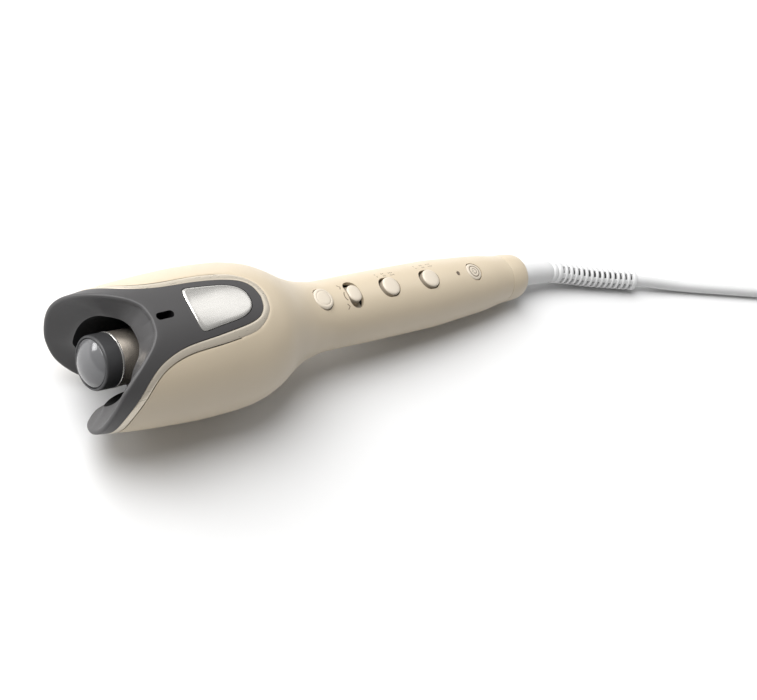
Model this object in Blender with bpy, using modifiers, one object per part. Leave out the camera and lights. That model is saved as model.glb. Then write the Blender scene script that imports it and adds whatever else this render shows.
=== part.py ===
"""Automatic hair curler: a handle with a widened head whose open mouth holds a heated barrel and a
turning drum that winds the hair. Lengths are in millimetres along the handle's own axis (x towards
the mouth, z out of the control side) and are scaled to metres when a shape is made. The whole
object lies on its back, tilted so that the belly of the head and the handle's end touch z = 0."""

from math import atan, atan2, cos, degrees, hypot, pi, radians, sin, tan

import bmesh
import bpy
from mathutils import Matrix, Vector

for old in list(bpy.data.objects):
    bpy.data.objects.remove(old)

# ---------------------------------------------------------------- driving dimensions
MM = 0.001
GAP = 0.3                                   # clearance between touching pieces
TILT = radians(5.95)                        # the handle's end lies lower than the head
LIFT = 40.95                                # height of the axis at x = 0
SHIFT_X = 179.87                            # puts the origin under the middle, without the free cord
WALL = 2.2                                  # plastic shells
TAIL_X, SEAM_X = -279.2, -266.0             # end of the cap, seam between cap and shells
MOUTH_R = 20.0                              # round hole in the mouth
LINER_BACK = -73.7
BARREL_R, BARREL_BACK = 12.4, -58.0
DRUM_OUT, DRUM_IN, DRUM_FRONT, DRUM_BACK = 19.4, 15.8, -38.5, -62.0
RING_TEETH, PINION_TEETH = 32, 8            # ratio 4, module 1
PINION_Z = -12.0                            # pinion and motor axis below the barrel's axis
CORD_R = 3.2
COIL_R, COIL_THICK = 35.0, 9.3              # mean radius and section radius of the coiled cord

# stations (x, half width, half height) of the body's outer surface
BODY = ((-280, 12.6, 12.6), (-266, 13.0, 13.0), (-250, 15.0, 15.0), (-230, 16.4, 16.4),
        (-208, 17.6, 17.6), (-165, 17.8, 17.8), (-134, 17.6, 17.6), (-119, 19.6, 19.5),
        (-107, 23.5, 23.6), (-96, 29.0, 28.8), (-86, 33.0, 32.2), (-72, 35.3, 34.2),
        (-54, 35.7, 34.9), (-30, 34.8, 33.6), (-12, 33.5, 32.0), (14, 30.9, 29.4))

# edges that run round the head, as (index, angle, x); index 0 is the middle of the control side,
# SPLIT the seam between the two shells, LAST the middle of the back, and the other side mirrors them.
# From index 22 on they go round the slot in the back of the mouth.
LAST, SPLIT = 27, 17
RIM = ((0, 90, -16.2), (2, 79, -15.4), (4, 70, -12.7), (6, 62, -8.8), (8, 53, -4.3), (10, 43, 0.2),
       (12, 29, 4.3), (15, 0, 6.8), (17, -32, 4.5), (18, -44, 2.2), (19, -54, -0.8), (20, -62, -5),
       (21, -68, -9.2), (22, -72.3, -13.4), (23, -74.4, -19), (24, -74.7, -27.4), (25, -76.4, -32.1),
       (26, -82.2, -35.6), (27, -90, -36.8))
HOLE = ((0, 90, -12.9), (2, 79, -12.9), (4, 69, -12.1), (6, 61, -11), (8, 52, -8.9), (10, 43, -7.3),
        (12, 29, -6.4), (15, 0, -4), (17, -31, -3.1), (18, -41, -5.3), (19, -50, -9), (20, -56, -12.5),
        (21, -60, -16.2), (22, -61.8, -18.8), (23, -62.3, -20.2), (24, -62.7, -21.6),
        (25, -66.3, -25.4), (26, -76.6, -28.7), (27, -90, -30))
BEZEL = ((0, 90, -76), (1, 82.5, -75), (2, 77, -72.8), (3, 73.3, -69.5), (4, 70.3, -63),
         (6, 66.7, -46.5), (8, 63.3, -28), (10, 54, -14), (12, 36, -5.4), (15, 0, 1.2),
         (17, -32, -0.6), (18, -44, -4), (19, -53, -8.2), (20, -59.5, -12.6), (21, -63.5, -17.2),
         (22, -66, -22), (23, -67.6, -27), (24, -69.4, -32), (25, -73, -37.2), (26, -80, -41.2),
         (27, -90, -42.6))
TRIM = ((0, 90, -80), (1, 80.5, -79), (2, 73.8, -76.2), (3, 68, -72), (4, 63.5, -66.5),
        (6, 60, -51), (8, 57.2, -30), (10, 49, -16.2), (12, 32.5, -8.4), (15, 0, -2.9),
        (17, -32, -4.7), (18, -42, -8.2), (19, -50, -12.4), (20, -56, -17), (21, -59.8, -21.6),
        (22, -62.2, -26.3), (23, -64, -31.2), (24, -66.2, -36), (25, -70.6, -41.2), (26, -78.6, -45.2),
        (27, -90, -46.6))

# controls along the top of the handle
CURL_X, DIRECTION_X, TIME_X, TEMP_X, LED_X, POWER_X = -125.1, -146.15, -171.7, -200.3, -221.7, -234.6
BOARD_Z, TRAY_Z = 7.0, -10.0                # underside of the control board and of the tray

# ---------------------------------------------------------------- scene helpers
scene = bpy.context.scene
parts = bpy.data.collections.new("automatic_hair_curler")
cutters = bpy.data.collections.new("cutters")
cutters.hide_render = True
scene.collection.children.link(parts)
scene.collection.children.link(cutters)

frame = bpy.data.objects.new("handle_frame", None)
frame.matrix_world = (Matrix.Translation(Vector((SHIFT_X, 0, LIFT)) * MM)
                      @ Matrix.Rotation(-TILT, 4, "Y"))
parts.objects.link(frame)


def material(name, colour, rough, metal=0.0):
    made = bpy.data.materials.new(name)
    made.use_nodes = True
    shader = made.node_tree.nodes["Principled BSDF"]
    shader.inputs["Base Color"].default_value = (*colour, 1)
    shader.inputs["Roughness"].default_value = rough
    shader.inputs["Metallic"].default_value = metal
    return made


CREAM = material("cream_plastic", (0.68, 0.58, 0.44), 0.38)
DARK = material("dark_grey_plastic", (0.085, 0.08, 0.078), 0.42)
CHAMPAGNE = material("champagne_trim", (0.42, 0.35, 0.27), 0.35, 0.7)
SILVER = material("satin_silver", (0.62, 0.6, 0.56), 0.3, 0.9)
BRONZE = material("bronze_ceramic", (0.3, 0.24, 0.18), 0.35, 0.6)
BLACK = material("black_plastic", (0.012, 0.012, 0.013), 0.5)
GREY = material("grey_gloss_plastic", (0.16, 0.16, 0.165), 0.2)
NYLON = material("ivory_nylon", (0.72, 0.69, 0.6), 0.5)
STEEL = material("steel", (0.55, 0.55, 0.56), 0.3, 1.0)
ALLOY = material("aluminium", (0.65, 0.65, 0.66), 0.4, 1.0)
CERAMIC = material("ceramic_heater", (0.3, 0.28, 0.27), 0.6)
BOARD = material("circuit_board", (0.02, 0.13, 0.05), 0.45)
COMPONENT = material("component_black", (0.02, 0.02, 0.022), 0.4)
CASE_BLUE = material("capacitor_sleeve", (0.03, 0.05, 0.16), 0.35)
COPPER = material("copper_winding", (0.55, 0.24, 0.1), 0.35, 0.9)
CLEAR = material("light_guide", (0.75, 0.72, 0.66), 0.15)
WHITE = material("white_rubber", (0.72, 0.72, 0.72), 0.5)
WIRE = material("wire_silicone", (0.5, 0.05, 0.04), 0.5)


def add(name, data, mat=None, smooth=35.0, parent=frame):
    """Links mesh or curve data as a part, or as a hidden cutter when no material is given."""
    made = bpy.data.objects.new(name, data)
    made.parent = parent
    if mat is None:
        cutters.objects.link(made)
        made.hide_render = True
        made.display_type = "WIRE"
    else:
        parts.objects.link(made)
        data.materials.append(mat)
    if isinstance(data, bpy.types.Mesh) and smooth:
        data.shade_smooth()
        data.set_sharp_from_angle(angle=radians(smooth))
    return made


def mesh(name, points, faces):
    data = bpy.data.meshes.new(name)
    data.from_pydata([Vector(p) * MM for p in points], [], faces)
    data.update()
    return data


def cut(target, cutter, how="DIFFERENCE"):
    step = target.modifiers.new(cutter.name, "BOOLEAN")
    step.operation, step.solver, step.object = how, "EXACT", cutter


def eased(keys, t):
    """Monotone cubic through (t, value) keys, level at both ends."""
    if t <= keys[0][0]:
        return keys[0][1]
    if t >= keys[-1][0]:
        return keys[-1][1]
    slopes = [(b[1] - a[1]) / (b[0] - a[0]) for a, b in zip(keys, keys[1:])]
    bends = [0.0] + [2 * p * q / (p + q) if p * q > 0 else 0.0 for p, q in zip(slopes, slopes[1:])] + [0.0]
    for i, (a, b) in enumerate(zip(keys, keys[1:])):
        if t <= b[0]:
            h = b[0] - a[0]
            s = (t - a[0]) / h
            return (a[1] * (1 + 2 * s) * (1 - s) ** 2 + b[1] * s * s * (3 - 2 * s)
                    + h * (bends[i] * s * (1 - s) ** 2 - bends[i + 1] * s * s * (1 - s)))


def half_width(x):
    return eased([(k[0], k[1]) for k in BODY], x)


def half_height(x):
    return eased([(k[0], k[2]) for k in BODY], x)


def skin(x, angle, inset=0.0):
    """A point of the body's surface, or of the surface that lies inset below it."""
    a = radians(angle)
    return (x, (half_width(x) - inset) * cos(a), (half_height(x) - inset) * sin(a))


def edge(keys, index, push=0.0):
    """(x, angle) of a head edge at an index, pushed towards the cord by a distance along the surface."""
    side = -1 if index < 0 else 1
    i = abs(index)
    angle = eased([(k[0], k[1]) for k in keys], i)
    x = eased([(k[0], k[2]) for k in keys], i)
    if push:
        step = 0.05
        j, k = max(i - step, 0), min(i + step, LAST)
        run = eased([(q[0], q[2]) for q in keys], k) - eased([(q[0], q[2]) for q in keys], j)
        turn = eased([(q[0], q[1]) for q in keys], k) - eased([(q[0], q[1]) for q in keys], j)
        around = radians(turn) * hypot(half_width(x) * sin(radians(angle)),
                                       half_height(x) * cos(radians(angle)))
        size = hypot(run, around)
        x += push * around / size
        angle -= push * run / size / radians(1) / half_width(x)
    if i in (0, LAST):
        angle = 90.0 if i == 0 else -90.0
    return x, (180.0 - angle if side < 0 else angle)


def even_angle(index):
    """Angle of an index where the body is plain: level steps on each side of the seam."""
    i = abs(index)
    angle = 90 - i * 122 / SPLIT if i <= SPLIT else -32 - (i - SPLIT) * 58 / (LAST - SPLIT)
    return 180 - angle if index < 0 else angle


def shell_of(rows, closed):
    """Points and faces of a solid from rows of (outer, inner) point lists; rows run along the
    handle and the lists run round it. closed joins the last point of each row to its first."""
    n = len(rows[0][0])
    points = []
    for outer, inner in rows:
        points += outer + inner
    faces = []

    def at(row, side, k):
        return row * 2 * n + side * n + k % n

    spans = n if closed else n - 1
    for r in range(len(rows) - 1):
        for k in range(spans):
            faces.append((at(r, 0, k), at(r, 0, k + 1), at(r + 1, 0, k + 1), at(r + 1, 0, k)))
            faces.append((at(r, 1, k), at(r + 1, 1, k), at(r + 1, 1, k + 1), at(r, 1, k + 1)))
        if not closed:
            faces.append((at(r, 0, 0), at(r + 1, 0, 0), at(r + 1, 1, 0), at(r, 1, 0)))
            faces.append((at(r, 0, n - 1), at(r, 1, n - 1), at(r + 1, 1, n - 1), at(r + 1, 0, n - 1)))
    end = len(rows) - 1
    for k in range(spans):
        faces.append((at(0, 0, k), at(0, 1, k), at(0, 1, k + 1), at(0, 0, k + 1)))
        faces.append((at(end, 0, k), at(end, 0, k + 1), at(end, 1, k + 1), at(end, 1, k)))
    return points, faces


def facing_out(data):
    """Turns the faces outwards."""
    work = bmesh.new()
    work.from_mesh(data)
    bmesh.ops.recalc_face_normals(work, faces=work.faces)
    work.to_mesh(data)
    work.free()
    return data


def swept(name, sections, closed=True):
    """Mesh through a list of closed loops with equal counts; open ends are capped."""
    n, m = len(sections[0]), len(sections)
    points = [p for loop in sections for p in loop]
    faces = [(r * n + k, r * n + (k + 1) % n, (r + 1) % m * n + (k + 1) % n, (r + 1) % m * n + k)
             for r in range(m if closed else m - 1) for k in range(n)]
    if not closed:
        faces += [tuple(range(n - 1, -1, -1)), tuple(range((m - 1) * n, m * n))]
    return facing_out(mesh(name, points, faces))


def turned(name, profile, mat, place=(0, 0, 0), axis="X", steps=32, parent=frame, smooth=35.0):
    """A turned piece: profile is a closed list of (along, radius) round the given axis."""
    sections = []
    for k in range(steps):
        a = 2 * pi * k / steps
        loop = []
        for along, r in profile:
            u, v = r * cos(a), r * sin(a)
            loop.append({"X": (along, u, v), "Y": (v, along, u), "Z": (u, v, along)}[axis])
        sections.append(loop)
    data = swept(name, sections)
    made = add(name, data, mat, smooth, parent)
    made.location = Vector(place) * MM
    return made


def rod(name, profile, mat, place=(0, 0, 0), axis="X", steps=24, parent=frame, smooth=35.0):
    """A solid of revolution without a bore: profile is an open list of (along, radius)."""
    sections = []
    for along, r in profile:
        loop = []
        for k in range(steps):
            a = 2 * pi * k / steps
            u, v = r * cos(a), r * sin(a)
            loop.append({"X": (along, u, v), "Y": (v, along, u), "Z": (u, v, along)}[axis])
        sections.append(loop)
    made = add(name, swept(name, sections, closed=False), mat, smooth, parent)
    made.location = Vector(place) * MM
    return made


def block(name, low, high, mat, parent=frame, soften=0.0):
    (x0, y0, z0), (x1, y1, z1) = low, high
    loops = [[(x0, y0, z), (x1, y0, z), (x1, y1, z), (x0, y1, z)] for z in (z0, z1)]
    made = add(name, swept(name, loops, closed=False), mat, 0, parent)
    if soften:
        bevel = made.modifiers.new("edges", "BEVEL")
        bevel.width, bevel.segments = soften * MM, 2
    return made


def rounded(length, width, radius, arc=5):
    """Outline of a rectangle with round corners, about its middle."""
    out = []
    for cx, cy, start in ((1, 1, 0), (-1, 1, 90), (-1, -1, 180), (1, -1, 270)):
        for k in range(arc + 1):
            a = radians(start + 90 * k / arc)
            out.append((cx * (length / 2 - radius) + radius * cos(a),
                        cy * (width / 2 - radius) + radius * sin(a)))
    return out


def plate(name, outline, levels, mat, place=(0, 0, 0), parent=frame, smooth=35.0):
    """A solid through scaled copies of an outline in x and y, at levels of (z, shrink)."""
    loops = []
    for z, shrink in levels:
        big = max(hypot(*p) for p in outline)
        f = 1 - shrink / big
        loops.append([(p[0] * f, p[1] * f, z) for p in outline])
    made = add(name, swept(name, loops, closed=False), mat, smooth, parent)
    made.location = Vector(place) * MM
    return made


def body_core(name, inset, x0, x1, count, around=40):
    """Hidden solid that fills the body below the given inset."""
    loops = [[skin(x0 + (x1 - x0) * r / count, 360 * k / around, inset) for k in range(around)]
             for r in range(count + 1)]
    return add(name, swept(name, loops, closed=False), None)


# ---------------------------------------------------------------- shells, trim and mouth
STATIONS = (-92, -98, -104, -110, -117, -125, -136, -160, -186, -212, -232, -250, SEAM_X + GAP / 2)
BLEND_ROWS = 5


def body_rows(indices, seam_push):
    """Rows of the cream shells, from the trim's edge to the end cap's seam."""
    rows = []
    for r in range(BLEND_ROWS + len(STATIONS)):
        outer, inner = [], []
        for i in indices:
            x0, a0 = edge(TRIM, i, GAP / 2)
            t = min(r / BLEND_ROWS, 1.0)
            x = x0 + (STATIONS[0] - x0) * t if r < BLEND_ROWS else STATIONS[r - BLEND_ROWS]
            a = a0 + (even_angle(i) - a0) * t * t * (3 - 2 * t)
            if abs(i) == SPLIT:
                shift = degrees(seam_push / half_width(x))
                a += shift if i > 0 else -shift
            outer.append(skin(x, a))
            inner.append(skin(x, a, WALL))
        rows.append((outer, inner))
    return rows


def shell(name, indices, seam_push, mat):
    points, faces = shell_of(body_rows(indices, seam_push), closed=False)
    return add(name, facing_out(mesh(name, points, faces)), mat, 40)


upper = shell("upper_shell", range(-SPLIT, SPLIT + 1), GAP / 2, CREAM)
under = [i for i in range(SPLIT, LAST + 1)] + [-i for i in range(LAST - 1, SPLIT - 1, -1)]
back = shell("back_shell", under, -GAP / 2, CREAM)

round_head = list(range(0, LAST + 1)) + [-i for i in range(LAST - 1, 0, -1)]


def trim_loop(i):
    front, rear = edge(BEZEL, i, GAP / 2), edge(TRIM, i, -GAP / 2)
    middle = ((front[0] + rear[0]) / 2, (front[1] + rear[1]) / 2)
    return [skin(*rear), skin(*middle, -0.12), skin(*front), skin(*front, 1.7), skin(*rear, 1.7)]


add("bezel_trim", swept("bezel_trim", [trim_loop(i) for i in round_head]), CHAMPAGNE)


TUBE_END, TUBE_WALL = -36.8, 2.0            # the short tube behind the mouth's hole


def bore(x, angle, r):
    return (x, r * cos(radians(angle)), r * sin(radians(angle)))


def bezel_loop(i):
    """Section of the mouth piece at an index: outer skin, round rim, funnel or slot wall, tube, inside."""
    rear, rim, hole = edge(BEZEL, i, -GAP / 2), edge(RIM, i), edge(HOLE, i)
    loop = []
    for k in range(7):
        t = k / 6
        loop.append(skin(rear[0] + (rim[0] - rear[0]) * t, rear[1] + (rim[1] - rear[1]) * t ** 1.5))
    loop += [skin(*edge(RIM, i, -0.7), 0.5), skin(*edge(RIM, i, -0.9), 1.3)]
    far, near = skin(*edge(RIM, i, -0.6), 2.1), bore(*hole, MOUTH_R)
    loop.append(far)
    for t in (0.22, 0.45, 0.7, 0.9):
        loop.append((near[0] + (far[0] - near[0]) * (1 - t) ** 1.45,
                     far[1] + (near[1] - far[1]) * t, far[2] + (near[2] - far[2]) * t))
    loop.append(near)
    tube = hole[1] if abs(i) <= SPLIT else even_angle(i)
    back_of_hole, inner = edge(HOLE, i, 2.8), edge(RIM, i, 3.2)
    loop += [bore(hole[0] - 1.0, hole[1], MOUTH_R - 0.4), bore(TUBE_END, tube, MOUTH_R - 0.4),
             bore(TUBE_END, tube, MOUTH_R - 0.4 + TUBE_WALL), bore(*back_of_hole, MOUTH_R + 2.6)]
    inside = (min(inner[0], (rim[0] + rear[0]) / 2), inner[1])
    for k in range(4):
        t = k / 3
        loop.append(skin(inside[0] + (rear[0] - inside[0]) * t,
                         inside[1] + (rear[1] - inside[1]) * t ** 0.7, 2.4))
    return loop


bezel = add("mouth_bezel", swept("mouth_bezel", [bezel_loop(i) for i in round_head]), DARK)

PLATE_EDGE = ((-38.4, 11.6), (-37.0, 10.6), (-36.3, 8.2), (-35.7, 4.4), (-35.4, 0.0))
PLATE_SIDE = ((-41.5, 11.4), (-48, 10.6), (-55, 9.9), (-60.8, 9.0), (-64.3, 7.8), (-67.2, 6.1),
              (-69, 3.8), (-69.8, 0.0))
PLATE_MIDDLE, PLATE_HALF = -52.6, 17.2


def plate_outline(shrink):
    half = list(reversed(PLATE_EDGE)) + list(PLATE_SIDE)
    whole = half + [(x, -y) for x, y in reversed(half[1:-1])]
    return [(x - shrink * (x - PLATE_MIDDLE) / PLATE_HALF, y * (1 - shrink / 11.4)) for x, y in whole]


def standing(name, outline, z0, z1):
    """Hidden upright solid with an outline in x and y."""
    return add(name, swept(name, [[(x, y, z) for x, y in outline] for z in (z0, z1)], closed=False), None)


pocket = standing("plate_pocket", plate_outline(0.0), 20, 40)
cut(pocket, body_core("below_pocket", 1.5, -84, -26, 12))
cut(bezel, pocket)
vent = standing("vent_slot", [(x - 22.3, y) for x, y in rounded(9.0, 3.6, 1.78)], 24, 40)
cut(bezel, vent)

badge = add("name_plate", swept("name_plate", [[(x, y, z) for x, y in plate_outline(GAP)]
                                               for z in (20, 40)], closed=False), SILVER)
cut(badge, body_core("badge_top", -0.15, -84, -26, 12), "INTERSECT")
cut(badge, body_core("badge_under", 1.2, -84, -26, 12))

# flat land on which the belly rests
floor_cutter = block("floor_cutter", (-200, -60, -20), (250, 60, 0), None, parent=None)
cut(back, floor_cutter)

# ---------------------------------------------------------------- end cap, boot and cord
cap = turned("end_cap", ((SEAM_X - GAP / 2, 13.0), (-271, 12.95), (-275.6, 12.6), (-278.0, 11.7),
                   (TAIL_X, 9.9), (TAIL_X, 7.3), (-276.4, 7.3), (-276.4, 10.5),
                   (SEAM_X - GAP / 2, 10.7)), CREAM, steps=30)
cut(cap, floor_cutter)

YAW, YAW_OVER = radians(17.5), 52.0            # sideways bend of the boot, and where it ends
LEVEL_FROM, LEVEL_OVER = 40.0, 38.0            # the bend that brings the boot's end level with the floor
BOOT_LENGTH = 91.0


def smooth(t):
    t = min(max(t, 0.0), 1.0)
    return t * t * (3 - 2 * t)


def trail(s):
    """Point and direction of the cord's line, s millimetres beyond the end cap."""
    steps = max(int(abs(s)), 1)
    point, ds, way = Vector((TAIL_X, 0, 0)), s / steps, Vector((-1, 0, 0))
    for k in range(steps):
        at = (k + 0.5) * ds
        yaw = YAW * smooth(at / YAW_OVER)
        pitch = atan(tan(TILT) * cos(yaw)) * smooth((at - LEVEL_FROM) / LEVEL_OVER)
        way = Vector((-cos(yaw) * cos(pitch), sin(yaw) * cos(pitch), sin(pitch)))
        point = point + way * ds
    return point, way


def tube_loops(stations, around):
    """Loops of radius r round the cord's line at each (s, r)."""
    loops = []
    for s, r in stations:
        middle, way = trail(s)
        side = Vector((way.y, -way.x, 0)).normalized()
        up = side.cross(way)
        loops.append([tuple(middle + side * (r * cos(2 * pi * k / around))
                            + up * (r * sin(2 * pi * k / around))) for k in range(around)])
    return loops


RIBS, RIB_PITCH, RIB_START = 15, 3.87, 34.7
boot_line = [(-6.2, 3.5), (-6.2, 9.6), (-3.1, 9.6), (-3.1, 6.9), (1.0, 6.9), (14.0, 6.55), (23.0, 6.2),
             (27.5, 6.15)]
for rib in range(RIBS):
    start = RIB_START + rib * RIB_PITCH
    size = 6.2 - 0.4 * rib / RIBS
    boot_line += [(start - 2.8, size - 1.3), (start - 2.2, size), (start, size)]
boot_line += [(BOOT_LENGTH, 5.75)] + [(BOOT_LENGTH * (1 - k / 9), 3.5) for k in range(9)]
AROUND_BOOT = 10
boot_data = swept("strain_boot", tube_loops(boot_line, AROUND_BOOT))
add("strain_boot", boot_data, WHITE)

to_world = frame.matrix_world.copy()


def world(point):
    return to_world @ (Vector(point) * MM) / MM


exit_point, exit_way = trail(BOOT_LENGTH + 1.0)
exit_world = world(exit_point)
exit_dir = (to_world.to_3x3() @ exit_way).normalized()
RUN = 175.0                                    # cord from the boot to the coil
FLOOR_LINE = CORD_R + 0.1
floor_dir = Vector((exit_dir.x, exit_dir.y, 0)).normalized()
coil_way = exit_world + floor_dir * RUN
side_dir = Vector((-floor_dir.y, floor_dir.x, 0))
coil_centre = (Vector((coil_way.x, coil_way.y, 0))
               + side_dir * (COIL_R + COIL_THICK + CORD_R + GAP) - floor_dir * 2)


def cord_points():
    out = [world(trail(s)[0]) for s in (-20, -14, -8, -4)] + \
          [world(trail(s)[0]) for s in range(0, int(BOOT_LENGTH) + 2, 3)]
    start = out[-1]
    for k in range(1, 25):
        t = k / 24
        flat = start + floor_dir * (RUN * t)
        drop = smooth(t * RUN / 40)
        out.append(Vector((flat.x, flat.y, start.z * (1 - drop) + FLOOR_LINE * drop)))
    return out


def cord_curve(name, points, radius, mat, parent=None, resolution=2):
    data = bpy.data.curves.new(name, "CURVE")
    data.dimensions, data.fill_mode = "3D", "FULL"
    data.bevel_depth, data.bevel_resolution = radius * MM, resolution
    data.use_fill_caps = True
    line = data.splines.new("POLY")
    line.points.add(len(points) - 1)
    for spot, p in zip(line.points, points):
        spot.co = (*(Vector(p) * MM), 1)
    made = bpy.data.objects.new(name, data)
    made.parent = parent
    parts.objects.link(made)
    data.materials.append(mat)
    return made


cord_curve("power_cord", cord_points(), CORD_R, WHITE)

coil_ring = [(COIL_THICK * (1.0 + sin(2 * pi * k / 8)), COIL_R + COIL_THICK * cos(2 * pi * k / 8))
             for k in range(8)]
turned("cord_coil", coil_ring, WHITE, place=(coil_centre.x, coil_centre.y, 0), axis="Z", steps=24,
       parent=None)

# plug lying beside the coil, on the far side from the handle, where the last turn runs off into it
PLUG_AHEAD, PLUG_ASIDE = 47.5, 14.5
plug_at = coil_centre + floor_dir * PLUG_AHEAD + side_dir * PLUG_ASIDE
plug = bpy.data.objects.new("plug_frame", None)
plug.location = Vector((plug_at.x, plug_at.y, 0)) * MM
plug.rotation_euler = (0, 0, atan2(side_dir.y, side_dir.x))
parts.objects.link(plug)
body_loops = [[(x, y * w / 2, 8.4 + z * h / 2) for y, z in
               ((1, -.6), (1, .6), (.6, 1), (-.6, 1), (-1, .6), (-1, -.6), (-.6, -1), (.6, -1))]
              for x, w, h in ((0, 8, 8), (8, 12, 11), (18, 19, 14), (30, 21, 15.6), (33, 20, 14.8))]
add("plug_body", swept("plug_body", body_loops, closed=False), WHITE, parent=plug)
for name, y in (("plug_pin_1", -9.5 * 0.55), ("plug_pin_2", 9.5 * 0.55)):
    rod(name, ((33.3, 2.0), (50, 2.0), (51.4, 1.2)), STEEL, place=(0, y, 8.4), steps=12, parent=plug)

# ---------------------------------------------------------------- barrel and cap
turned("heater_barrel", ((-8.9, BARREL_R), (BARREL_BACK, BARREL_R), (BARREL_BACK, 11.2), (-8.9, 11.2)),
       BRONZE, steps=32)
turned("barrel_ring", ((-7.95, 12.66), (-8.6, 12.66), (-8.6, 11.0), (-7.95, 11.0)), SILVER, steps=32)
turned("barrel_cap", ((-7.65, 12.6), (-1.5, 12.4), (-0.4, 12.05), (0.0, 11.3), (0.0, 10.9), (-1.5, 10.7),
                      (-1.5, 2.0), (-13.0, 2.0), (-13.0, 10.7), (-7.65, 10.7)), DARK, steps=32)
rod("cap_dome", ((-1.2, 10.4), (-0.1, 10.4), (0.35, 9.9), (1.1, 8.4), (1.9, 6.0), (2.4, 3.2), (2.55, 1.0)),
    GREY, steps=32)
for name, sign in (("heater_clamp_1", 1), ("heater_clamp_2", -1)):
    chord = [(10.4 * cos(radians(a)), sign * 10.4 * sin(radians(a))) for a in range(14, 167, 19)]
    loops = [[(x, y, z) for y, z in chord] for x in (-15, -53)]
    add(name, swept(name, loops, closed=False), ALLOY)
block("heater_plate", (-52, -8.5, -2.0), (-16, 8.5, 2.0), CERAMIC)

# ---------------------------------------------------------------- winding drum and its drive
LINER_FRONT = TUBE_END - GAP
turned("chamber_liner", ((LINER_FRONT, 21.5), (LINER_BACK, 21.5), (LINER_BACK, 20.1), (LINER_FRONT, 20.1)),
       BLACK, steps=32)
drum = turned("winding_drum", ((DRUM_FRONT, DRUM_OUT - 0.8), (DRUM_FRONT - 1, DRUM_OUT),
                               (DRUM_BACK, DRUM_OUT), (DRUM_BACK, DRUM_IN), (DRUM_FRONT - 1, DRUM_IN),
                               (DRUM_FRONT, DRUM_IN + 0.8)), BLACK, steps=32)
slot_side = [(DRUM_FRONT + 4, -5.4), (DRUM_FRONT - 4, -3.2), (DRUM_FRONT - 19, -3.2),
             (DRUM_FRONT - 19, 3.2), (DRUM_FRONT - 4, 3.2), (DRUM_FRONT + 4, 5.4)]
cut(drum, add("hair_slot", swept("hair_slot", [[(x, y, z) for x, y in slot_side] for z in (-24, 24)],
                                 closed=False), None))


def toothed(teeth, root, tip, share, phase):
    """Outline of a gear: each tooth is a trapezium that covers share of its pitch at mid height."""
    out = []
    pitch = 2 * pi / teeth
    for k in range(teeth):
        middle = phase + k * pitch
        for r, spread in ((root, 0.62), (tip, 0.38), (tip, -0.38), (root, -0.62)):
            a = middle - pitch * share * spread
            out.append((r * cos(a), r * sin(a)))
    return out


def extruded(name, outlines, x0, x1, mat, place=(0, 0, 0)):
    """Flat curve with holes, given thickness along x."""
    data = bpy.data.curves.new(name, "CURVE")
    data.dimensions, data.fill_mode, data.extrude = "2D", "BOTH", abs(x1 - x0) / 2 * MM
    for outline in outlines:
        line = data.splines.new("POLY")
        line.points.add(len(outline) - 1)
        for spot, (u, v) in zip(line.points, outline):
            spot.co = (u * MM, v * MM, 0, 1)
        line.use_cyclic_u = True
    made = bpy.data.objects.new(name, data)
    made.parent = frame
    # the curve's own x and y become the handle's y and z
    made.matrix_local = (Matrix.Translation(Vector((place[0] + (x0 + x1) / 2, place[1], place[2])) * MM)
                         @ Matrix(((0, 0, 1, 0), (1, 0, 0, 0), (0, 1, 0, 0), (0, 0, 0, 1))))
    parts.objects.link(made)
    data.materials.append(mat)
    return made


rim = [(DRUM_OUT * cos(2 * pi * k / 32), DRUM_OUT * sin(2 * pi * k / 32)) for k in range(32)]
extruded("ring_gear", [rim, toothed(RING_TEETH, 17.1, 15.3, 0.40, -pi / 2)], -62.3, -68.0, NYLON)
extruded("drive_pinion", [toothed(PINION_TEETH, 2.95, 4.75, 0.40, -pi / 2 + pi / PINION_TEETH)],
         -62.8, -67.6, NYLON, place=(0, 0, PINION_Z))
rod("motor_shaft", ((-67.9, 1.0), (-78.0, 1.0)), STEEL, place=(0, 0, PINION_Z), steps=12)

post = turned("gear_plate", ((-54.5, 10.9), (-58.3, 10.9), (-58.3, 12.2), (-60.2, 12.2), (-60.2, 6.2),
                             (-73.9, 6.2), (-73.9, 21.4), (-77.9, 21.4), (-77.9, 3.0), (-54.5, 3.0)),
              NYLON, steps=24)
cut(post, rod("shaft_hole", ((-70, 1.6), (-82, 1.6)), None, place=(0, 0, PINION_Z), steps=16))
rod("gear_motor", ((-78.3, 3.0), (-79.8, 3.0), (-79.8, 7.6), (-80.6, 8.0), (-102.4, 8.0), (-103.2, 7.6),
                   (-103.2, 2.6), (-104.8, 2.6)), STEEL, place=(0, 0, PINION_Z), steps=20)

# ---------------------------------------------------------------- tray, boards and their components
chassis = block("handle_tray", (-230, -9.0, TRAY_Z), (-112, 9.0, TRAY_Z + 1.8), NYLON)
for n, side in enumerate((-1, 1)):
    wall = (7.8, 9.0) if side > 0 else (-9.0, -7.8)
    cut(chassis, block(f"tray_wall_{n}", (-229.9, wall[0], TRAY_Z + 1),
                       (-112.1, wall[1], TRAY_Z + 6.5), None), "UNION")
for n, x in enumerate((-116, -227)):
    for m, y in enumerate((-6.4, 6.4)):
        cut(chassis, rod(f"board_post_{n}{m}", ((TRAY_Z + 1, 1.7), (BOARD_Z - GAP, 1.7)), None,
                         place=(x, y, 0), axis="Z", steps=8), "UNION")
SCREW_X = (-135.0, -180.0, -225.0)
for n, x in enumerate(SCREW_X):
    deep = half_height(x) - WALL - 2 * GAP - 0.2
    cut(chassis, rod(f"tray_boss_{n}", ((-deep, 2.9), (TRAY_Z + 1, 2.9)), None, place=(x, 0, 0), axis="Z",
                     steps=16), "UNION")
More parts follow.
